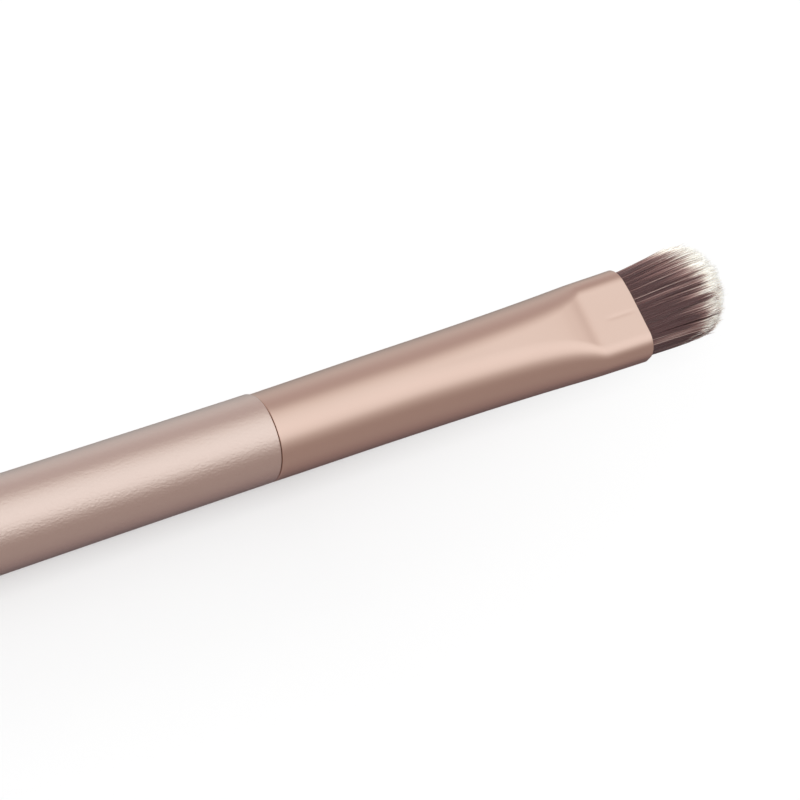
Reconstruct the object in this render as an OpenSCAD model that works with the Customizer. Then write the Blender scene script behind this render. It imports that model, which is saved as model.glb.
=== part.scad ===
// Eyeshadow brush: turned handle, formed metal ferrule and a flat filbert tuft.
// Millimetres. The brush lies along X with the tuft towards +X and its flat
// sides facing +Z and -Z. Z = 0 is the surface it lies on and X = 0 is halfway
// along it.

/* [Handle] */
// Length of the handle that shows, from the ferrule's rear edge to the tail
handle_len = 124.5; // [110:0.5:140]
// Radius of the handle at its shoulder, just behind the ferrule
shoulder_r = 3.65; // [3.62:0.01:3.8]
// Radius of the handle at its widest place
belly_r = 3.82; // [3.8:0.01:4.4]
// Distance from the ferrule's rear edge back to the widest place
belly_at = 46; // [35:1:55]
// Height of the faint crest at the widest place, which the handle lies on
crest = 0.05; // [0.02:0.01:0.08]
// Length of the crest to either side
crest_len = 3; // [2:0.5:5]
// Radius of the short straight section at the tail
tail_r = 2.6; // [2.2:0.1:3.2]
// Length of the straight section at the tail
tail_len = 10; // [6:1:14]
// Radius that rounds over the handle's shoulder
shoulder_round = 0.3; // [0.15:0.05:0.5]
// Radius of the tenon inside the ferrule
tenon_r = 3.05; // [2.9:0.01:3.1]
// Length of the tenon inside the ferrule
tenon_len = 13; // [9:0.5:14]

/* [Ferrule] */
// Outside diameter at the rear edge
ferrule_d = 7.18; // [7.1:0.02:7.3]
// How much wider the round part is where the flattening starts
swell = 0.15; // [0:0.01:0.3]
// Length from the rear edge to the mouth
ferrule_len = 36; // [34:0.5:40]
// Wall thickness of the tube
wall = 0.35; // [0.3:0.01:0.4]
// Outside width of the flattened mouth
mouth_w = 8.17; // [7.8:0.01:8.6]
// Outside thickness of the flattened mouth
mouth_t = 3.97; // [3.8:0.01:4.2]
// Length of the round part before the tube starts to flatten
round_len = 13; // [13:0.5:15]
// Length of the crimped flat band at the mouth
crimp_len = 4.75; // [4:0.25:6]
// How much narrower the tube is at the crease than at the mouth
crease_in = 0.11; // [0:0.01:0.3]
// Corner radius of the band, as a share of half its thickness
corner_share = 0.83; // [0.6:0.01:0.96]
// Gap that shows as a dark line between the handle and the ferrule
seam_gap = 0.12; // [0.08:0.01:0.2]

/* [Tuft] */
// Length of fibre that stands out of the mouth
tuft_len = 9.7; // [8.5:0.1:12]
// Widest width of the free tuft
tuft_w = 8.3; // [7.8:0.05:8.8]
// Thickness of the free tuft at its thickest
tuft_t = 3.86; // [3.6:0.02:4]
// Depth of the rounded filbert end
dome_len = 3.3; // [2.5:0.1:4.5]
// Fibre length that is inside the ferrule
root_len = 19.2; // [17:0.2:20]
// Largest bend of the tuft to either side, in degrees
flex = 25; // [10:1:25]

/* [Bonding] */
// Clearance kept between nested pieces
gap = 0.02; // [0.01:0.01:0.04]
// Distance from the ferrule's rear edge to the resin plug's rear face
resin_from = 15.2; // [14.6:0.1:16]
// Distance from the ferrule's rear edge to the resin plug's front face
resin_to = 24; // [22:0.5:26]
// Diameter of the binding thread
thread_d = 0.36; // [0.3:0.02:0.4]
// Number of turns of the binding thread
thread_turns = 5; // [3:1:5]

/* [Hidden] */

// The whole length, and the places along X that follow from it
total_len = handle_len + ferrule_len + tuft_len;
x_tail = -total_len / 2;
x_seam = x_tail + handle_len;
x_mouth = x_seam + ferrule_len;
x_tip = x_mouth + tuft_len;
z_axis = belly_r;

ferrule_r = ferrule_d / 2;
corner_r = corner_share * mouth_t / 2;
crease_at = ferrule_len - crimp_len;

// Hinge line of the tuft: just outside the mouth, on the axis
pivot_out = 0.3;
x_pivot = x_mouth + pivot_out;
barrel_r = mouth_t / 2 - wall - 0.135;
barrel_y = mouth_w / 2 - wall - barrel_r - 0.09;

arc_n = 9;
flat_n = 2;

function clamp01(t) = min(1, max(0, t));
function ease(t) = let(u = clamp01(t)) u * u * (3 - 2 * u);
function mix(a, b, t) = a + (b - a) * t;

// ---- Handle profile -------------------------------------------------------
// Radius of the handle at a distance s behind the ferrule's rear edge: main_r
// without the crest, handle_r with it
taper_from = belly_at;
taper_to = handle_len - tail_r - tail_len;
function main_r(s) = s < taper_from
    ? mix(shoulder_r, belly_r, ease(s / belly_at))
    : mix(belly_r, tail_r, ease((s - taper_from) / (taper_to - taper_from)));
function handle_r(s) = min(main_r(s), belly_r - crest * min(1, abs(s - belly_at) / crest_len));

// ---- Ferrule section ------------------------------------------------------
// The tube widens a little from its rear edge on. Then it is flattened, slowly
// at first and steeply just behind the crease. s is the distance from the rear
// edge.
function tube_r(s) = ferrule_r + swell / 2 * s / round_len;
function run(s) = clamp01((s - round_len) / (crease_at - round_len));
function formed(s) = 0.3 * run(s) + 0.7 * pow(run(s), 6);
function half_w(s) = s < crease_at
    ? mix(tube_r(s), mouth_w / 2 - crease_in / 2, pow(run(s), 2))
    : mouth_w / 2 - crease_in / 2 * (ferrule_len - s) / crimp_len;
function half_t(s) = mix(tube_r(s), mouth_t / 2, formed(s));
function corner(s) = mix(tube_r(s), corner_r, formed(s));

// A ring of points: a rounded rectangle of half sizes a and b with corner
// radius c, at x, going round from the +Y side
function ring(x, a, b, c) = let(r = min(c, a, b)) [
    for (q = [0:3]) let(sy = (q == 0 || q == 3) ? 1 : -1, sz = (q < 2) ? 1 : -1)
        each concat(
            [for (k = [0:arc_n - 1]) let(t = q * 90 + 90 * k / (arc_n - 1))
                [x, sy * (a - r) + r * cos(t), z_axis + sz * (b - r) + r * sin(t)]],
            (q == 0 || q == 2)
                ? [for (k = [1:flat_n]) let(u = k / (flat_n + 1), y0 = sy * (a - r))
                    [x, mix(y0, -y0, u), z_axis + sz * b]]
                : [])];

// Ring of the ferrule's surface at distance s, moved in by d
function ferrule_ring(s, d) = ring(x_seam + s, half_w(s) - d, half_t(s) - d, max(corner(s) - d, 0.2));

// A closed solid through a list of rings of equal size
module loft(rings) {
    n = len(rings[0]);
    m = len(rings);
    pts = [for (r = rings) each r];
    sides = [for (i = [0:m - 2]) for (j = [0:n - 1])
        let(k = (j + 1) % n, a = i * n + j, b = i * n + k, c = a + n, e = b + n, odd = floor(4 * j / n) % 2 == 1)
        each (odd ? [[a, c, b], [b, c, e]] : [[a, e, b], [a, c, e]])];
    first = [for (j = [0:n - 1]) j];
    last = [for (j = [n - 1:-1:0]) (m - 1) * n + j];
    polyhedron(points = pts, faces = concat([first], sides, [last]), convexity = 4);
}

module along_x() { translate([0, 0, z_axis]) rotate([0, 90, 0]) rotate([0, 0, 90]) children(); }

// ---- Sub-parts ------------------------------------------------------------
module handle() {
    lip = x_seam - seam_gap;
    steps_front = 12;
    steps_back = 20;
    front_s0 = seam_gap + shoulder_round;
    dome = [for (k = [0:8]) let(t = 90 * k / 8) [tail_r * sin(t), x_tail + tail_r * (1 - cos(t))]];
    tail = [[tail_r, x_seam - taper_to]];
    back = [for (k = [steps_back - 1:-1:1]) let(s = mix(taper_from + crest_len, taper_to, (k - 1) / (steps_back - 1))) [handle_r(s), x_seam - s]];
    front = [for (k = [steps_front + 1:-1:0]) let(s = k > steps_front ? belly_at : mix(front_s0, belly_at - crest_len, k / steps_front)) [handle_r(s), x_seam - s]];
    rs = handle_r(front_s0);
    over = [for (k = [1:5]) let(t = 90 * k / 5) [rs - shoulder_round * (1 - cos(t)), lip - shoulder_round * (1 - sin(t))]];
    tenon = [[tenon_r, lip], [tenon_r, x_seam + tenon_len - 0.4], [tenon_r - 0.4, x_seam + tenon_len], [0, x_seam + tenon_len]];
    color([0.80, 0.71, 0.67])
        along_x() rotate_extrude($fn = 96)
            polygon(concat(dome, tail, back, front, over, tenon));
}

// Stations of the formed part of the tube, from its round part to the mouth;
// they are closer together where the tube is flattened steeply
steep = 6.2;
function stations(from, to) = concat(
    [for (k = [0:4]) mix(from, crease_at - steep, k / 5)],
    [for (k = [0:7]) mix(crease_at - steep, crease_at, 1 - pow(1 - k / 8, 1.3))],
    [crease_at, to]);

module ferrule() {
    from = round_len - 0.25;
    color([0.79, 0.63, 0.57]) difference() {
        union() {
            translate([x_seam, 0, 0]) along_x() cylinder(r1 = ferrule_r, r2 = tube_r(round_len), h = round_len, $fn = 96);
            loft([for (s = stations(from, ferrule_len)) ferrule_ring(s, 0.004)]);
        }
        translate([x_seam - 1, 0, 0]) along_x() cylinder(r = ferrule_r - wall, h = round_len + 1, $fn = 96);
        loft([for (s = stations(from, ferrule_len + 1)) ferrule_ring(s, wall + 0.004)]);
    }
}

module joint_adhesive() {
    color([0.86, 0.80, 0.62]) translate([x_seam + 0.15, 0, 0]) along_x()
        difference() {
            cylinder(r = ferrule_r - wall - gap, h = tenon_len - 0.65, $fn = 96);
            translate([0, 0, -1]) cylinder(r = tenon_r + gap, h = tenon_len + 2, $fn = 96);
        }
}

// The fibre bundle inside the ferrule: round where it is tied, then spreading
// out to fill the flattened tube. u is the distance from the rear edge.
root_from = ferrule_len - root_len;
root_to = ferrule_len + pivot_out - barrel_r - 0.12;
tie_from = root_from + 0.7;
tie_to = tie_from + thread_turns * thread_d;
tied_r = 2.28;
function spread(u) = ease((u - tie_to) / 5.2);
function root_a(u) = u < tie_from ? tied_r + 0.16 * (tie_from - u) : mix(tied_r, half_w(u) - wall - 0.03, spread(u));
function root_b(u) = u < tie_from ? tied_r + 0.16 * (tie_from - u) : mix(tied_r, half_t(u) - wall - 0.03, spread(u));
function root_c(u) = u < tie_from ? tied_r + 0.16 * (tie_from - u) : mix(tied_r, corner(u) - wall - 0.03, spread(u));
function root_ring(u, d) = ring(x_seam + u, root_a(u) + d, root_b(u) + d, root_c(u) + d);

module fibre_root() {
    us = concat([root_from, tie_from, tie_to], [for (k = [1:6]) tie_to + 5.2 * k / 6],
        [for (k = [0:5]) mix(crease_at - steep, crease_at, k / 6)], [crease_at, root_to]);
    color([0.30, 0.19, 0.17]) loft([for (u = us) root_ring(u, 0)]);
}

// Each turn of the thread is half a circle across
module binding_thread() {
    r0 = tied_r + gap;
    outer = [for (i = [0:thread_turns - 1]) for (k = [0:6])
        let(t = 180 - 180 * k / 6, zc = tie_from + thread_d * (i + 0.5))
        [r0 + thread_d * 0.55 + thread_d * 0.45 * sin(t), zc + thread_d / 2 * 0.94 * cos(t)]];
    color([0.93, 0.90, 0.82]) translate([x_seam, 0, 0]) along_x() rotate_extrude($fn = 72)
        polygon(concat([[r0, tie_from + 0.011]], outer, [[r0, tie_to - 0.011]]));
}

module root_resin() {
    us_out = [resin_from, mix(resin_from, resin_to, 0.25), mix(resin_from, resin_to, 0.5), mix(resin_from, resin_to, 0.75), resin_to];
    us_in = concat([tie_to + 0.05], [for (k = [1:5]) mix(tie_to + 0.05, resin_to + 0.8, k / 5)]);
    pocket_r = tied_r + thread_d + 3 * gap;
    color([0.72, 0.55, 0.30, 0.6]) difference() {
        loft([for (u = us_out) ferrule_ring(u, wall + gap + 0.01)]);
        // pocket for the tied end, and the flared seat in front of it
        translate([x_seam + root_from - 0.06, 0, 0]) along_x() cylinder(r = pocket_r, h = tie_to - root_from + 0.12, $fn = 72);
        loft([for (u = us_in) root_ring(u, gap)]);
    }
}

// The free tuft. v is the distance from the mouth.
dome_from = tuft_len - dome_len;
function tuft_a(v) = v < dome_from
    ? mix(3.4, tuft_w / 2, v < 1.3 ? 0.72 * ease((v - 0.2) / 1.1) : 0.72 + 0.28 * ease((v - 1.3) / 3.2))
    : tuft_w / 2 * sqrt(max(0.0001, 1 - pow((v - dome_from) / dome_len, 2)));
function tuft_b(v) = v < 1.3 ? mix(barrel_r - 0.14, tuft_t / 2 * 0.97, (v - 0.45) / 0.85)
    : v < 3.4 ? mix(tuft_t / 2 * 0.97, tuft_t / 2, ease((v - 1.3) / 2.1))
    : tuft_t / 2 * pow(max(0.0001, 1 - pow((v - 3.4) / (tuft_len - 3.4), 2.6)), 0.62);

module fibre_tuft() {
    vs = concat([0.45, 0.85, 1.3, 2.3, 3.4, 4.6, 5.6, dome_from],
        [for (k = [1:8]) dome_from + dome_len * sin(90 * k / 8.35)]);
    color([0.36, 0.24, 0.21]) union() {
        // round back of the bundle, which turns in the mouth
        translate([x_pivot, 0, z_axis]) {
            rotate([90, 0, 0]) cylinder(r = barrel_r, h = 2 * barrel_y, center = true, $fn = 64);
            for (s = [-1, 1]) translate([0, s * barrel_y, 0]) sphere(r = barrel_r, $fn = 64);
        }
        loft([for (v = vs) ring(x_mouth + v, tuft_a(v), tuft_b(v), min(tuft_a(v), tuft_b(v)) * 0.97)]);
    }
}

handle();
ferrule();
joint_adhesive();
root_resin();
binding_thread();
fibre_root();
fibre_tuft();
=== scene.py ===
"""Eyeshadow brush: turned and lacquered handle, satin metal ferrule and a soft filbert tuft.

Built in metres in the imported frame: +X runs from the tail to the tuft, +Z is the normal of the tuft's flat side.
"""
import math

import bpy
import numpy as np
from mathutils import Matrix, Vector


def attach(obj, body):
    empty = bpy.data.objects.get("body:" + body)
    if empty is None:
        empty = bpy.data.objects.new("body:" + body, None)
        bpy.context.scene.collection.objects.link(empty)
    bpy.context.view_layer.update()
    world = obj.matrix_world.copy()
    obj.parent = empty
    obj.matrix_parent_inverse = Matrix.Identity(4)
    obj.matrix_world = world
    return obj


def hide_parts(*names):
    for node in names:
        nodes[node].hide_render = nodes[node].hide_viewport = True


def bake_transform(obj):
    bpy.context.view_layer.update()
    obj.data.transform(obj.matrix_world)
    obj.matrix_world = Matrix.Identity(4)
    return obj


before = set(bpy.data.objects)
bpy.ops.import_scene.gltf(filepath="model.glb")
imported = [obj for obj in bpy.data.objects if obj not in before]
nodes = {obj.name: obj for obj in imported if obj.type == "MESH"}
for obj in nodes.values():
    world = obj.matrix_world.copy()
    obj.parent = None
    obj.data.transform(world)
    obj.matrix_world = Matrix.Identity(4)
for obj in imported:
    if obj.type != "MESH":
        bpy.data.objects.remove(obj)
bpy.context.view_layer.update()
scene = bpy.context.scene
MM = 0.001

# ---------------------------------------------------------------- dimensions, in mm, as in the construction
HANDLE_LEN, FERRULE_LEN, TUFT_LEN = 124.5, 36.0, 9.7
SHOULDER_R, BELLY_R, BELLY_AT, TAIL_R, TAIL_LEN = 3.65, 3.82, 46.0, 2.6, 10.0
SHOULDER_ROUND, TENON_R, TENON_LEN = 0.16, 3.05, 13.0
FERRULE_R, SWELL, WALL, MOUTH_W, MOUTH_T = 3.59, 0.15, 0.35, 8.17, 3.97
ROUND_LEN, CRIMP_LEN, CREASE_IN, SEAM_GAP = 13.0, 4.75, 0.11, 0.12
TUFT_W, TUFT_T, DOME_LEN = 8.3, 3.86, 3.3
X_TAIL = -(HANDLE_LEN + FERRULE_LEN + TUFT_LEN) / 2
X_SEAM = X_TAIL + HANDLE_LEN
X_MOUTH = X_SEAM + FERRULE_LEN
Z_AXIS = BELLY_R
CORNER_R = 0.86 * MOUTH_T / 2
CREASE_AT = FERRULE_LEN - CRIMP_LEN
TAPER_TO = HANDLE_LEN - TAIL_R - TAIL_LEN


def ease(t):
    t = np.clip(t, 0.0, 1.0)
    return t * t * (3 - 2 * t)


def mix(a, b, t):
    return a + (b - a) * t


def handle_r(s):
    """Radius of the handle at s behind the ferrule's rear edge."""
    front = mix(SHOULDER_R, BELLY_R, ease(s / BELLY_AT))
    back = mix(BELLY_R, TAIL_R, ease((s - BELLY_AT) / (TAPER_TO - BELLY_AT)))
    return np.where(s < BELLY_AT, front, back)


def tube_r(s):
    return FERRULE_R + SWELL / 2 * s / ROUND_LEN


def run(s):
    return np.clip((s - ROUND_LEN) / (CREASE_AT - ROUND_LEN), 0.0, 1.0)


def formed(s):
    """How far the tube is flattened: slowly at first, steeply just behind the crease."""
    return 0.3 * run(s) + 0.7 * run(s) ** 6


def half_w(s):
    behind = mix(tube_r(s), MOUTH_W / 2 - CREASE_IN / 2, run(s) ** 2.8)
    band = MOUTH_W / 2 - CREASE_IN / 2 * (FERRULE_LEN - s) / CRIMP_LEN
    return np.where(s < CREASE_AT, behind, band)


def half_t(s):
    return mix(tube_r(s), MOUTH_T / 2, formed(s))


def corner(s):
    return mix(tube_r(s), CORNER_R, formed(s))


def softened(f, s, behind=0.5, ahead=0.95):
    """f averaged over a short length near the crease, mostly forward, because the press leaves no sharp corner."""
    reach = float(ease((3.2 - abs(s - CREASE_AT)) / 1.4))
    k = np.linspace(-1, 1, 17)
    w = 1.05 - np.abs(k)
    return float(sum(a * float(f(s + b * reach * (ahead if b > 0 else behind))) for a, b in zip(w, k)) / w.sum())


# ---------------------------------------------------------------- mesh helpers
def make_mesh(name, verts_mm, faces, smooth=True):
    me = bpy.data.meshes.new(name)
    v = np.asarray(verts_mm, float) * MM
    f = np.asarray(faces, np.int32)
    k = f.shape[1]
    me.vertices.add(len(v))
    me.vertices.foreach_set("co", v.astype(np.float32).ravel())
    me.loops.add(f.size)
    me.loops.foreach_set("vertex_index", f.ravel())
    me.polygons.add(len(f))
    me.polygons.foreach_set("loop_start", np.arange(len(f), dtype=np.int32) * k)
    me.update(calc_edges=True)
    me.polygons.foreach_set("use_smooth", np.full(len(f), smooth))
    me.validate()
    ob = bpy.data.objects.new(name, me)
    scene.collection.objects.link(ob)
    return ob


def grid_faces(rows, cols, close_rows=False):
    """Quads between rows rings of cols points each; every ring is closed."""
    i = np.arange(rows if close_rows else rows - 1)[:, None]
    j = np.arange(cols)[None, :]
    k = (j + 1) % cols
    n = (i + 1) % rows
    a, b, c, d = i * cols + j, i * cols + k, n * cols + k, n * cols + j
    return np.stack(np.broadcast_arrays(a, b, c, d), -1).reshape(-1, 4)


def lathe(name, profile, segments):
    """A closed turned solid about the brush's axis; profile is (x, r), r 0 only at its two ends, drawn so that faces look out."""
    p = np.asarray(profile, float)
    body = p[1:-1]
    t = np.linspace(0, 2 * np.pi, segments, endpoint=False)
    ring = np.stack([np.cos(t), np.sin(t)], 1)
    v = np.concatenate([np.broadcast_to(body[:, None, :1], (len(body), segments, 1)),
                        body[:, None, 1:2] * ring[None]], 2).reshape(-1, 3)
    v[:, 2] += Z_AXIS
    q = grid_faces(len(body), segments)[:, ::-1]
    faces = [list(map(int, f)) for f in q]
    first, last = len(v), len(v) + 1
    v = np.concatenate([v, [[p[0, 0], 0, Z_AXIS], [p[-1, 0], 0, Z_AXIS]]])
    n0 = (len(body) - 1) * segments
    for j in range(segments):
        k = (j + 1) % segments
        faces.append([first, k, j])
        faces.append([last, n0 + j, n0 + k])
    me = bpy.data.meshes.new(name)
    me.from_pydata([tuple(c) for c in v * MM], [], faces)
    me.update()
    me.polygons.foreach_set("use_smooth", np.ones(len(me.polygons), bool))
    me.validate()
    ob = bpy.data.objects.new(name, me)
    scene.collection.objects.link(ob)
    return ob


def fix_normals(ob):
    import bmesh
    bm = bmesh.new()
    bm.from_mesh(ob.data)
    bmesh.ops.recalc_face_normals(bm, faces=bm.faces)
    bm.to_mesh(ob.data)
    bm.free()


# ---------------------------------------------------------------- material helpers
def node_material(name):
    m = bpy.data.materials.new(name)
    m.use_nodes = True
    nt = m.node_tree
    nt.nodes.clear()
    out = nt.nodes.new("ShaderNodeOutputMaterial")
    sh = nt.nodes.new("ShaderNodeBsdfPrincipled")
    nt.links.new(sh.outputs["BSDF"], out.inputs["Surface"])
    return m, nt, sh


def add(nt, kind, **values):
    n = nt.nodes.new(kind)
    for k, v in values.items():
        if k in n.inputs:
            n.inputs[k].default_value = v
        else:
            setattr(n, k, v)
    return n


def noise(nt, vector, scale, detail=2.0, rough=0.5, dist=0.0):
    n = nt.nodes.new("ShaderNodeTexNoise")
    n.inputs["Scale"].default_value = scale
    n.inputs["Detail"].default_value = detail
    n.inputs["Roughness"].default_value = rough
    n.inputs["Distortion"].default_value = dist
    nt.links.new(vector, n.inputs["Vector"])
    return n.outputs["Fac"]


def ramp(nt, fac, stops):
    n = nt.nodes.new("ShaderNodeValToRGB")
    e = n.color_ramp.elements
    while len(e) > 1:
        e.remove(e[-1])
    for i, (p, c) in enumerate(stops):
        x = e[0] if i == 0 else e.new(p)
        x.position = p
        x.color = (*c, 1.0)
    nt.links.new(fac, n.inputs["Fac"])
    return n.outputs["Color"]


def math_node(nt, op, a, b=None, c=None):
    n = nt.nodes.new("ShaderNodeMath")
    n.operation = op
    for i, x in enumerate((a, b, c)):
        if x is None:
            continue
        if isinstance(x, (int, float)):
            n.inputs[i].default_value = x
        else:
            nt.links.new(x, n.inputs[i])
    return n.outputs[0]


def mapped(nt, scale=(1, 1, 1), location=(0, 0, 0)):
    tc = nt.nodes.new("ShaderNodeTexCoord")
    mp = nt.nodes.new("ShaderNodeMapping")
    mp.inputs["Scale"].default_value = scale
    mp.inputs["Location"].default_value = location
    nt.links.new(tc.outputs["Object"], mp.inputs["Vector"])
    return mp.outputs["Vector"]


def bump(nt, sh, height, strength, distance):
    b = nt.nodes.new("ShaderNodeBump")
    b.inputs["Strength"].default_value = strength
    b.inputs["Distance"].default_value = distance
    nt.links.new(height, b.inputs["Height"])
    nt.links.new(b.outputs["Normal"], sh.inputs["Normal"])


def mix_color(nt, fac, a, b):
    n = nt.nodes.new("ShaderNodeMix")
    n.data_type = "RGBA"
    for key, x in ((0, fac), (6, a), (7, b)):
        if isinstance(x, (int, float)):
            n.inputs[key].default_value = x
        elif isinstance(x, tuple):
            n.inputs[key].default_value = (*x, 1.0)
        else:
            nt.links.new(x, n.inputs[key])
    return n.outputs[2]


# ---------------------------------------------------------------- materials
def lacquer():
    """Metallic satin lacquer with a fine orange peel drawn out along the handle."""
    m, nt, sh = node_material("handle_lacquer")
    v = mapped(nt, (4000, 5600, 5600))
    peel = noise(nt, v, 1.0, 2.5, 0.55, 0.4)
    fleck = noise(nt, mapped(nt, (16000, 16000, 16000)), 1.0, 1.0, 0.5)
    wide = noise(nt, mapped(nt, (60, 220, 220), (3.1, 0.4, 1.7)), 1.0, 3.0, 0.5)
    base = mix_color(nt, math_node(nt, "MULTIPLY", fleck, 0.35), (0.825, 0.663, 0.594), (0.928, 0.763, 0.692))
    base = mix_color(nt, math_node(nt, "MULTIPLY", wide, 0.20), base, (0.763, 0.613, 0.562))
    nt.links.new(base, sh.inputs["Base Color"])
    sh.inputs["Metallic"].default_value = 0.95
    sh.inputs["Coat Weight"].default_value = 0.35
    sh.inputs["Coat Roughness"].default_value = 0.22
    sh.inputs["Specular IOR Level"].default_value = 0.5
    sh.inputs["Specular Tint"].default_value = (0.76, 0.75, 0.72, 1)
    r = math_node(nt, "MULTIPLY_ADD", wide, 0.05, 0.27)
    nt.links.new(r, sh.inputs["Roughness"])
    h = math_node(nt, "ADD", math_node(nt, "MULTIPLY", peel, 1.0), math_node(nt, "MULTIPLY", wide, 0.3))
    bump(nt, sh, h, 0.5, 0.000056)
    return m


def anodised():
    """Rose-gold satin anodised aluminium; very fine lines run round the tube from its drawing and polishing."""
    m, nt, sh = node_material("ferrule_anodised")
    fine = noise(nt, mapped(nt, (9000, 700, 700)), 1.0, 2.0, 0.5)
    soft = noise(nt, mapped(nt, (120, 260, 260), (1.0, 5.0, 2.0)), 1.0, 3.0, 0.5)
    base = mix_color(nt, math_node(nt, "MULTIPLY", soft, 0.35), (0.86, 0.645, 0.555), (0.80, 0.59, 0.50))
    nt.links.new(base, sh.inputs["Base Color"])
    sh.inputs["Metallic"].default_value = 1.0
    sh.inputs["Specular Tint"].default_value = (0.76, 0.75, 0.72, 1)
    r = math_node(nt, "MULTIPLY_ADD", soft, 0.04, 0.27)
    nt.links.new(r, sh.inputs["Roughness"])
    h = math_node(nt, "ADD", math_node(nt, "MULTIPLY", fine, 0.35), soft)
    bump(nt, sh, h, 0.12, 0.00003)
    return m


def fibre_material():
    """Dark brown filaments that turn reddish and then off-white at their soft ends. It reads only the filament's own
    column (u) and the place along it (v)."""
    m, nt, sh = node_material("fibre_filaments")
    uv = nt.nodes.new("ShaderNodeUVMap")
    uv.uv_map = "OFBake"
    sep = nt.nodes.new("ShaderNodeSeparateXYZ")
    nt.links.new(uv.outputs["UV"], sep.inputs["Vector"])
    u, v = sep.outputs["X"], sep.outputs["Y"]
    cell = nt.nodes.new("ShaderNodeTexWhiteNoise")
    cell.noise_dimensions = "1D"
    nt.links.new(math_node(nt, "FLOOR", math_node(nt, "MULTIPLY", u, 32.0)), cell.inputs["W"])
    rnd = cell.outputs["Value"]
    # each column turns pale at its own place
    shift = math_node(nt, "MULTIPLY_ADD", rnd, 0.16, -0.08)
    at = math_node(nt, "ADD", v, shift)
    col = ramp(nt, at, [
        (0.00, (0.102, 0.050, 0.049)),
        (0.42, (0.106, 0.052, 0.051)),
        (0.56, (0.165, 0.087, 0.081)),
        (0.69, (0.290, 0.165, 0.150)),
        (0.78, (0.470, 0.330, 0.295)),
        (0.84, (0.690, 0.590, 0.520)),
        (0.90, (0.880, 0.840, 0.770)),
        (1.00, (0.950, 0.945, 0.910)),
    ])
    tint = math_node(nt, "MULTIPLY_ADD", rnd, 0.9, 0.55)
    n = nt.nodes.new("ShaderNodeMix")
    n.data_type = "RGBA"
    n.blend_type = "MULTIPLY"
    n.inputs[0].default_value = 0.28
    nt.links.new(col, n.inputs[6])
    comb = nt.nodes.new("ShaderNodeCombineColor")
    for i in range(3):
        nt.links.new(tint, comb.inputs[i])
    nt.links.new(comb.outputs[0], n.inputs[7])
    nt.links.new(n.outputs[2], sh.inputs["Base Color"])
    # painted light: the pale ends glow by emission, standing in for light spread inside them
    painted_tip_glow = ramp(nt, at, [(0.0, (0.0, 0.0, 0.0)), (0.79, (0.0, 0.0, 0.0)), (0.90, (0.115, 0.115, 0.105)), (1.0, (0.165, 0.165, 0.155))])
    nt.links.new(painted_tip_glow, sh.inputs["Emission Color"])
    sh.inputs["Emission Strength"].default_value = 1.0
    sh.inputs["Roughness"].default_value = 0.42
    sh.inputs["Specular IOR Level"].default_value = 0.45
    sh.inputs["Sheen Weight"].default_value = 0.15
    sh.inputs["Sheen Roughness"].default_value = 0.4
    return m


def core_material():
    """Shaded inside of the bundle: dark fibres with fine streaks along the brush."""
    m, nt, sh = node_material("fibre_core")
    streak = noise(nt, mapped(nt, (250, 9000, 9000)), 1.0, 2.0, 0.6)
    c = ramp(nt, streak, [(0.3, (0.030, 0.016, 0.015)), (0.7, (0.075, 0.040, 0.036))])
    nt.links.new(c, sh.inputs["Base Color"])
    sh.inputs["Roughness"].default_value = 0.7
    bump(nt, sh, streak, 0.6, 0.00005)
    return m


def resin_material(name, pale, deep, rough):
    m, nt, sh = node_material(name)
    n1 = noise(nt, mapped(nt, (500, 500, 500)), 1.0, 3.0, 0.55)
    c = mix_color(nt, n1, deep, pale)
    nt.links.new(c, sh.inputs["Base Color"])
    nt.links.new(math_node(nt, "MULTIPLY_ADD", n1, 0.12, rough), sh.inputs["Roughness"])
    bump(nt, sh, n1, 0.25, 0.00006)
    return m


def thread_material():
    """Waxed cotton: two plies that wind round the bundle."""
    m, nt, sh = node_material("thread_cotton")
    ply = nt.nodes.new("ShaderNodeTexWave")
    ply.bands_direction = "DIAGONAL"
    ply.inputs["Scale"].default_value = 1.0
    ply.inputs["Distortion"].default_value = 1.5
    nt.links.new(mapped(nt, (1500, 4000, 4000)), ply.inputs["Vector"])
    c = mix_color(nt, ply.outputs["Fac"], (0.62, 0.56, 0.45), (0.82, 0.77, 0.66))
    nt.links.new(c, sh.inputs["Base Color"])
    sh.inputs["Roughness"].default_value = 0.7
    bump(nt, sh, ply.outputs["Fac"], 0.5, 0.00005)
    return m


# ---------------------------------------------------------------- handle
def seam_skew(y):
    """How far the seam runs forward at y across the brush."""
    return 0.17 * float(ease((y + 1.2) / 4.6))


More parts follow.
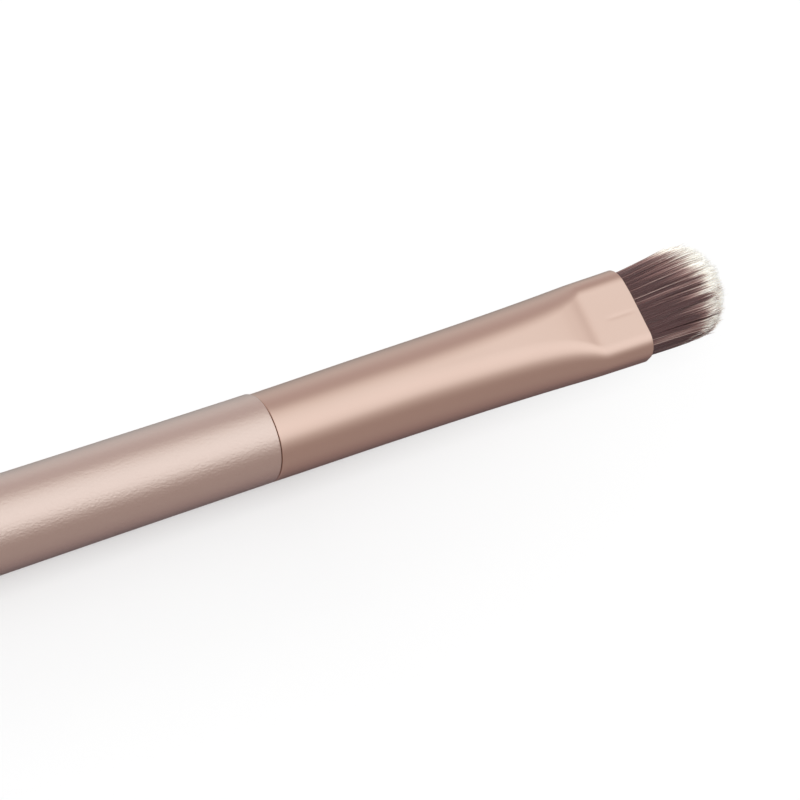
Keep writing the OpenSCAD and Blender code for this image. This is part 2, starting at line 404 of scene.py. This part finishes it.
def build_handle():
    gap = 0.05
    lip = X_SEAM - gap
    s_lip = gap + SHOULDER_ROUND
    t = np.radians(np.linspace(0, 90, 26))
    prof = [(X_TAIL, 0.0)]
    prof += [(X_TAIL + TAIL_R * (1 - math.cos(a)), TAIL_R * math.sin(a)) for a in t[1:]]
    prof += [(X_SEAM - s, float(handle_r(np.array(s)))) for s in np.arange(TAPER_TO, s_lip, -0.9)]
    rs = float(handle_r(np.array(s_lip)))
    o = np.radians(np.linspace(0, 90, 10))
    prof += [(lip - SHOULDER_ROUND * (1 - math.sin(a)), rs - SHOULDER_ROUND * (1 - math.cos(a))) for a in o]
    prof += [(lip, TENON_R + 0.05), (lip + 0.02, TENON_R), (lip + 0.2, TENON_R)]
    end = X_SEAM + TENON_LEN
    prof += [(end - 0.45, TENON_R), (end - 0.35, TENON_R - 0.02), (end - 0.05, TENON_R - 0.35), (end, TENON_R - 0.42), (end, 1.0), (end, 0.0)]
    ob = lathe("handle_turned", prof, 160)
    fix_normals(ob)
    # the seam isn't quite square to the tube, and it closes towards +Y
    for vert in ob.data.vertices:
        x, y = vert.co.x / MM, vert.co.y / MM
        if lip - 0.6 < x < lip + 0.25:
            vert.co.x += (seam_skew(y) + 0.04 * float(ease((y + 0.2) / 2.4))) * MM * min(1.0, (x - lip + 0.6) / 0.6)
    ob.data.materials.append(lacquer())
    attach(ob, "brush")
    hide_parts("handle")
    return ob


# ---------------------------------------------------------------- ferrule
def section(a, b, r, quarter=52):
    """Rounded rectangle of half sizes a (Y) and b (Z), in evenly spaced points from +Y through +Z."""
    r = min(r, a, b)
    side, arc = b - r, r * math.pi / 2
    k = np.linspace(0, side + arc + a - r, quarter + 1)
    turned = np.clip((k - side) / r, 0, math.pi / 2)
    y = (a - r) + r * np.cos(turned) - np.clip(k - side - arc, 0, None)
    z = np.minimum(k, side) + r * np.sin(turned)
    up, back = np.stack([y, z], 1)[:-1], np.stack([y, z], 1)[:0:-1]
    return np.concatenate([up, back * (-1, 1), -up, back * (1, -1)])


def build_ferrule():
    lip = 0.07
    # (distance from the rear edge, offset inward from the outer surface), from the rear edge, out, over the lip and back inside
    path = [(0.0, 0.10), (0.012, 0.05), (0.05, 0.012), (0.10, 0.0)]
    path += [(s, 0.0) for s in np.arange(0.6, ROUND_LEN, 1.4)]
    path += [(s, 0.0) for s in np.arange(ROUND_LEN, CREASE_AT - 4.0, 0.45)]
    path += [(s, 0.0) for s in np.arange(CREASE_AT - 4.0, CREASE_AT + 1.25, 0.11)]
    path += [(s, 0.0) for s in np.arange(CREASE_AT + 1.35, FERRULE_LEN - lip - 0.05, 0.25)]
    for a in np.radians(np.linspace(0, 90, 6)):
        path.append((FERRULE_LEN - lip * (1 - math.sin(a)), lip * (1 - math.cos(a))))
    path += [(FERRULE_LEN, WALL - 0.08), (FERRULE_LEN - 0.025, WALL - 0.025), (FERRULE_LEN - 0.09, WALL)]
    path += [(s, WALL) for s in np.arange(FERRULE_LEN - 0.6, CREASE_AT + 0.2, -0.8)]
    path += [(s, WALL) for s in np.linspace(CREASE_AT, CREASE_AT - 5.0, 12)]
    path += [(s, WALL) for s in np.arange(CREASE_AT - 5.8, ROUND_LEN, -1.0)]
    path += [(ROUND_LEN, WALL), (6.0, WALL), (0.06, WALL), (0.0, WALL - 0.05)]
    rings = []
    for s, d in path:
        near = abs(s - CREASE_AT) < 3.2 and d < 0.02
        a, b, r = (softened(f, s) if near else float(f(s)) for f in (half_w, half_t, corner))
        sec = section(a - d, b - d, max(r - d, 0.2))
        if d < 0.02:  # the press leaves a faint line along the middle of each flat
            along = ease((s - CREASE_AT - 1.3) / 0.7) * (1 - ease((s - FERRULE_LEN + 0.9) / 0.7))
            dip = 0.026 * along * np.exp(-((sec[:, 0] + 0.28) / 0.15) ** 2)
            sec[:, 1] -= np.sign(sec[:, 1]) * dip * (np.abs(sec[:, 1]) > b - 0.05)
        # the mouth's edge falls back a little at its +Y corner, and the tube sits a hair off the handle's axis at the seam
        x = X_SEAM + s - 0.16 * ease((sec[:, 0] - 1.0) / 2.8) * ease((s - FERRULE_LEN + 2.0) / 2.0)
        x = x + np.array([seam_skew(c) for c in sec[:, 0]]) * (1 - ease(s / 3.0))
        y = sec[:, 0] - 0.06 * (1 - ease(s / 12.0))
        rings.append(np.column_stack([x, y, sec[:, 1] + Z_AXIS]))
    n = len(rings[0])
    v = np.concatenate(rings)
    ob = make_mesh("ferrule_tube", v, grid_faces(len(rings), n, close_rows=True))
    fix_normals(ob)
    ob.data.materials.append(anodised())
    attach(ob, "brush")
    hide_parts("ferrule")
    return ob


# ---------------------------------------------------------------- tuft
V_IN = -1.35          # filaments start this far inside the mouth
LEAN = 0.030          # the tuft leans a little towards +Y, as a used brush does


def tuft_centre(v):
    return LEAN * np.maximum(v, 0.0) ** 1.35


def flare(v):
    """Half width of the bundle as a share of its half width in the mouth."""
    return 1.0 + 0.10 * np.clip(v / 6.0, 0.0, 1.0) ** 1.2 - 0.02 * ease((v - 6.0) / 4.0)


def thick(v):
    """Half thickness as a share of the one in the mouth: it swells a little, then closes towards the tip."""
    return 1.0 + 0.09 * ease(v / 2.6) - 0.47 * ease((v - 2.6) / 7.6)


def dome(p, q):
    """Length at which a filament ends, for its place p across the flat and q through it, each from -1 to 1."""
    a = np.clip(np.abs(p), 0, 0.999)
    base = TUFT_LEN - DOME_LEN * (1 - np.sqrt(1 - a ** 2.1)) - 0.30 * p * p
    return base - 1.3 * np.abs(q) ** 2.2 + 0.35 * p


def build_fibres():
    rng = np.random.default_rng(20240611)
    a0, b0, r0 = MOUTH_W / 2 - WALL - 0.04, MOUTH_T / 2 - WALL - 0.04, CORNER_R - WALL - 0.04
    # jittered hexagonal packing inside the mouth
    step = 0.056
    pts = []
    row = 0
    z = -b0
    while z <= b0:
        y = -a0 + (step / 2 if row % 2 else 0)
        while y <= a0:
            pts.append((y, z))
            y += step
        z += step * 0.866
        row += 1
    pts = np.array(pts) + rng.normal(0, 0.011, (len(pts), 2))
    dy = np.maximum(np.abs(pts[:, 0]) - (a0 - r0), 0)
    dz = np.maximum(np.abs(pts[:, 1]) - (b0 - r0), 0)
    pts = pts[np.hypot(dy, dz) <= r0]
    n = len(pts)
    p, q = pts[:, 0] / a0, pts[:, 1] / b0
    # place through the thickness relative to the bundle's own edge at that p
    edge = np.sqrt(np.clip(1 - np.clip((np.abs(pts[:, 0]) - (a0 - r0)) / r0, 0, 1) ** 2, 0.02, 1))
    depth = np.clip(np.abs(q) / edge, 0, 1)

    # clumps: filaments gather towards shared centres as they leave the mouth
    n_clump = 210
    seeds = np.column_stack([rng.uniform(-a0, a0, n_clump), rng.uniform(-b0, b0, n_clump)])
    d2 = ((pts[:, None, 0] - seeds[None, :, 0]) ** 2 + ((pts[:, None, 1] - seeds[None, :, 1]) * 1.15) ** 2)
    own = d2.argmin(1)
    centre = np.array([pts[own == k].mean(0) if (own == k).any() else seeds[k] for k in range(n_clump)])
    gather = rng.uniform(0.05, 0.32, n_clump)[own]
    clump_len = rng.normal(0, 0.10, n_clump)[own]
    clump_tip = rng.normal(0, 0.6, n_clump)[own]
    clump_off = rng.normal(0, 0.042, (n_clump, 2))[own]

    length = dome(p, np.where(pts[:, 1] > 0, depth, -depth)) + clump_len + rng.normal(0.05, 0.17, n) - np.abs(rng.normal(0, 0.30, n))
    length = np.clip(length, 3.0, TUFT_LEN + 0.2)
    stray = rng.random(n) < 0.012
    dirs = rng.normal(0, 1.0, (n, 2))
    curl = rng.normal(0, 0.05, (n, 2)) + np.where(stray[:, None], dirs * 0.22, 0)
    phase = rng.uniform(0, 2 * np.pi, n)
    radius = rng.uniform(0.026, 0.034, n)
    u_col = np.clip((np.round(clump_tip * 7 + 16) + rng.integers(-1, 2, n)), 0, 31)
    tip_from = np.clip(rng.normal(0.80, 0.03, n) + 0.012 * clump_tip, 0.7, 0.9)

    # stations along each filament, as a share of the free length
    st = np.array([-0.14, 0.0, 0.14, 0.30, 0.46, 0.62, 0.76, 0.87, 0.95, 1.0])
    taper = np.array([1.0, 1.0, 1.0, 1.0, 1.0, 0.96, 0.88, 0.72, 0.46, 0.12])
    v = st[None, :] * length[:, None]
    v[:, 0] = V_IN
    vv = np.maximum(v, 0)
    share = vv / TUFT_LEN
    g = gather[:, None] * ease(vv / 7.5) * 0.75
    y = pts[:, :1] + (centre[own][:, :1] - pts[:, :1]) * g + clump_off[:, :1] * share * 2.2
    zz = pts[:, 1:] + (centre[own][:, 1:] - pts[:, 1:]) * g + clump_off[:, 1:] * share * 2.0
    y = y * flare(vv) + tuft_centre(vv) + curl[:, :1] * share ** 2 * 2.0 + 0.02 * np.sin(3.0 * share + phase[:, None]) * share
    zz = zz * thick(vv) + curl[:, 1:] * share ** 2 * 1.3 + 0.02 * np.cos(2.6 * share + phase[:, None]) * share
    x = X_MOUTH + v
    P = np.stack([x, y, zz + Z_AXIS], 2)                      # n, stations, 3

    sides = 4
    k = len(st)
    ang = np.arange(sides) * 2 * np.pi / sides + rng.uniform(0, 2 * np.pi, n)[:, None]
    ring = np.stack([np.zeros_like(ang), np.cos(ang), np.sin(ang)], 2)      # n, sides, 3
    V = P[:, :, None, :] + (radius[:, None] * taper[None, :])[:, :, None, None] * ring[:, None, :, :]
    V[:, -1, :, 0] = P[:, -1, None, 0]
    # v of the map: 0 at the mouth, 1 at the tip; the pale part has its own length in mm on each filament
    pale = rng.normal(1.5, 0.16, n) + 0.85 * clump_tip + 0.45 * p - 0.8 * np.clip(-p, 0, 1) ** 0.7
    faint = np.where(rng.random(n) < 0.05, rng.uniform(2.5, 5.0, n), 0.0)
    faint = np.maximum(faint, np.where(rng.random(n_clump) < 0.07, 4.2, 0.0)[own] * rng.uniform(0.5, 1.1, n))
    left = length[:, None] - v
    tv = 1.0 - np.clip(left / np.maximum(pale, 0.3)[:, None] * 0.20, 0, 1)
    # some filaments are a little lighter over a longer length
    long = np.clip(1.0 - left / np.maximum(faint, 0.01)[:, None] * 0.20, 0, 0.72)
    tv = np.maximum(tv, long)
    tv[:, 0] = np.minimum(tv[:, 0], tv[:, 1])

    order = rng.permutation(n)
    made = []
    groups = np.array_split(order, 4)
    mat = fibre_material()
    for gi, idx in enumerate(groups):
        m = len(idx)
        verts = V[idx].reshape(-1, 3)
        base = (np.arange(m) * k * sides)[:, None, None]
        i = np.arange(k - 1)[None, :, None] * sides
        j = np.arange(sides)[None, None, :]
        jn = (j + 1) % sides
        quads = np.stack(np.broadcast_arrays(base + i + j, base + i + jn, base + i + sides + jn, base + i + sides + j), -1).reshape(-1, 4)
        caps0 = (np.arange(m) * k * sides)[:, None] + np.arange(sides)[None, ::-1]
        caps1 = (np.arange(m) * k * sides + (k - 1) * sides)[:, None] + np.arange(sides)[None, :]
        faces = np.concatenate([quads, caps0, caps1])
        ob = make_mesh(f"tuft_filaments_{gi + 1}", verts, faces)
        # the map: one column per variant, v along the filament
        uvl = ob.data.uv_layers.new(name="OFBake")
        vert_u = np.repeat((u_col[idx] + 0.5) / 32.0, k * sides)
        vert_v = np.repeat(tv[idx].reshape(-1), sides)
        loops = np.zeros(len(ob.data.loops), np.int32)
        ob.data.loops.foreach_get("vertex_index", loops)
        uvs = np.stack([vert_u[loops], 0.01 + 0.98 * vert_v[loops]], 1).astype(np.float32)
        uvl.data.foreach_set("uv", uvs.ravel())
        ob.data.materials.append(mat)
        made.append(ob)
    return made


# ---------------------------------------------------------------- assembly
handle = build_handle()
ferrule = build_ferrule()
tuft = build_fibres()

for ob in tuft:
    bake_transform(ob)
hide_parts("fibre_tuft")

hidden = {
    "joint_adhesive": resin_material("glue_cured", (0.78, 0.70, 0.46), (0.62, 0.52, 0.28), 0.22),
    "root_resin": resin_material("resin_cured", (0.58, 0.38, 0.16), (0.34, 0.19, 0.07), 0.16),
    "binding_thread": thread_material(),
    "fibre_root": core_material(),
}
for name, mat in hidden.items():
    ob = nodes[name]
    ob.data.materials.clear()
    ob.data.materials.append(mat)

# ---------------------------------------------------------------- floor, light and camera
floor = make_mesh("studio_floor", [(-3000, -3000, 0), (3000, -3000, 0), (3000, 3000, 0), (-3000, 3000, 0)], [(0, 1, 2, 3)], smooth=False)
floor.location.z = -0.00002
fm, fnt, fsh = node_material("studio_floor")
# painted light: towards the tuft the floor reflects less and glows more, so the brush's shadow fades there
f_tc = fnt.nodes.new("ShaderNodeTexCoord")
f_sep = fnt.nodes.new("ShaderNodeSeparateXYZ")
fnt.links.new(f_tc.outputs["Object"], f_sep.inputs[0])
floor_glow_share = fnt.nodes.new("ShaderNodeMapRange")
fnt.links.new(f_sep.outputs["X"], floor_glow_share.inputs["Value"])
for key, x in (("From Min", 0.042), ("From Max", 0.077), ("To Min", 0.0), ("To Max", 0.78)):
    floor_glow_share.inputs[key].default_value = x
fnt.links.new(mix_color(fnt, floor_glow_share.outputs["Result"], (0.44, 0.44, 0.44), (0.0, 0.0, 0.0)), fsh.inputs["Base Color"])
fsh.inputs["Emission Color"].default_value = (1, 1, 1, 1)
fnt.links.new(math_node(fnt, "MULTIPLY_ADD", floor_glow_share.outputs["Result"], 0.512, 0.50), fsh.inputs["Emission Strength"])
fsh.inputs["Roughness"].default_value = 0.9
fsh.inputs["Specular IOR Level"].default_value = 0.1
floor.data.materials.append(fm)
floor.visible_glossy = False


def area(name, at, to, size_x, size_y, radiance, color=(1, 1, 1), glossy=True, diffuse=True):
    li = bpy.data.lights.new(name, "AREA")
    li.shape = "RECTANGLE"
    li.size, li.size_y = size_x, size_y
    li.energy = radiance * math.pi * size_x * size_y
    li.color = color
    ob = bpy.data.objects.new(name, li)
    scene.collection.objects.link(ob)
    ob.location = at
    d = Vector(to) - Vector(at)
    ob.rotation_mode = "QUATERNION"
    ob.rotation_quaternion = d.to_track_quat("-Z", "Y")
    ob.visible_camera = False
    ob.visible_glossy = glossy
    ob.visible_diffuse = diffuse
    return ob


# Soft frontal key from above the handle's side and a narrow strip overhead; the world below gives the rest.
area("key", (-0.396, -0.206, 0.739), (0.05, 0.0, 0.0), 0.16, 0.16, 33.0, glossy=False)
area("overhead", (0.05, 0.0, 0.70), (0.05, 0.0, 0.0), 1.2, 0.35, 2.5, glossy=False)

# The world is white behind the floor. In reflections it is a studio seen along the brush: a bright softbox overhead
# that fades out slowly towards -Y, a paler wall low down on the +Y side and a dim, warm table below.
world = bpy.data.worlds.new("studio")
scene.world = world
world.cycles.sampling_method = "NONE"
world.use_nodes = True
wn = world.node_tree
wn.nodes.clear()
w_out = wn.nodes.new("ShaderNodeOutputWorld")
w_lp = wn.nodes.new("ShaderNodeLightPath")
w_tc = wn.nodes.new("ShaderNodeTexCoord")
w_sep = wn.nodes.new("ShaderNodeSeparateXYZ")
wn.links.new(w_tc.outputs["Generated"], w_sep.inputs[0])
turn = math_node(wn, "ARCTAN2", w_sep.outputs["Z"], w_sep.outputs["Y"])
fac = math_node(wn, "MULTIPLY_ADD", turn, 1.0 / (2 * math.pi), 0.5)
STUDIO = [  # degrees from +Y towards +Z, and the colour seen there
    (-180, 0.36, 0.295, 0.277), (-167, 0.365, 0.307, 0.290), (-144, 0.32, 0.252, 0.247), (-107, 0.18, 0.143, 0.161),
    (-90, 0.125, 0.105, 0.105), (-72, 0.15, 0.14, 0.13), (-56, 0.40, 0.39, 0.39), (-42, 0.52, 0.535, 0.55),
    (-8, 0.64, 0.624, 0.62), (20, 0.495, 0.42, 0.415),
    (38, 0.47, 0.405, 0.385), (58, 0.82, 0.80, 0.775), (76, 0.93, 0.945, 0.94), (104, 1.0, 1.005, 1.005),
    (122, 0.92, 0.92, 0.91), (138, 0.51, 0.455, 0.43), (156, 0.345, 0.28, 0.26), (180, 0.36, 0.295, 0.277)]
studio = ramp(wn, fac, [((a + 180) / 360, c) for a, *c in STUDIO])
# what lights matt surfaces: a broad soft wall on the +Y side, strongest low down
FILL = [(-180, 0.0), (-2, 0.0), (0, 2.0), (28, 2.0), (38, 0.9), (70, 0.9), (84, 0.0), (180, 0.0)]
fill = ramp(wn, fac, [((a + 180) / 360, (k / 2, k / 2, k / 2)) for a, k in FILL])
w_glossy = wn.nodes.new("ShaderNodeBackground")
wn.links.new(studio, w_glossy.inputs["Color"])
# a little more light from beyond the tuft, which the slope behind the crease mirrors
w_far = wn.nodes.new("ShaderNodeMapRange")
w_far.interpolation_type = "SMOOTHSTEP"
wn.links.new(w_sep.outputs["X"], w_far.inputs["Value"])
for key, x in (("From Min", 0.6), ("From Max", 0.95), ("To Min", 1.0), ("To Max", 1.06)):
    w_far.inputs[key].default_value = x
wn.links.new(w_far.outputs["Result"], w_glossy.inputs["Strength"])
w_other = wn.nodes.new("ShaderNodeBackground")
wn.links.new(fill, w_other.inputs["Color"])
w_other.inputs["Strength"].default_value = 2.0
w_white = wn.nodes.new("ShaderNodeBackground")
w_white.inputs["Color"].default_value = (1, 1, 1, 1)
m1, m2 = wn.nodes.new("ShaderNodeMixShader"), wn.nodes.new("ShaderNodeMixShader")
wn.links.new(w_lp.outputs["Is Glossy Ray"], m1.inputs[0])
wn.links.new(w_other.outputs[0], m1.inputs[1])
wn.links.new(w_glossy.outputs[0], m1.inputs[2])
wn.links.new(w_lp.outputs["Is Camera Ray"], m2.inputs[0])
wn.links.new(m1.outputs[0], m2.inputs[1])
wn.links.new(w_white.outputs[0], m2.inputs[2])
wn.links.new(m2.outputs[0], w_out.inputs[0])

# camera: fitted to the outline, 4500 pixels of focal length on an 800 pixel frame
PHI, THETA, TAU = math.radians(61.7), math.radians(18.41), math.radians(15.6)
C0 = np.array([-1.554, -0.422, -49.428]) * 7.2
d_ = np.array([math.sin(PHI) * math.cos(THETA), math.sin(PHI) * math.sin(THETA), -math.cos(PHI)])
w0 = np.array([math.sin(THETA), -math.cos(THETA), 0.0])
n0 = np.cross(w0, d_)
w_ = math.cos(TAU) * w0 + math.sin(TAU) * n0
n_ = -math.sin(TAU) * w0 + math.cos(TAU) * n0
axes = np.stack([d_, -w_, n_])                    # rows: the part's X, Y and Z in camera coordinates
position = np.array([X_SEAM, 0.0, Z_AXIS]) + axes @ (-C0)
cam_data = bpy.data.cameras.new("photo_camera")
cam_data.sensor_width = 36.0
cam_data.lens = 4500.0 / 800.0 * 36.0
cam_data.clip_start, cam_data.clip_end = 0.05, 20.0
cam = bpy.data.objects.new("photo_camera", cam_data)
scene.collection.objects.link(cam)
m = Matrix.Identity(4)
for r in range(3):
    for c in range(3):
        m[r][c] = axes[r, c]
    m[r][3] = position[r] * MM
cam.matrix_world = m
scene.camera = cam

scene.view_settings.view_transform = "Standard"
scene.view_settings.look = "None"
scene.view_settings.exposure = 0.0
scene.view_settings.gamma = 1.0
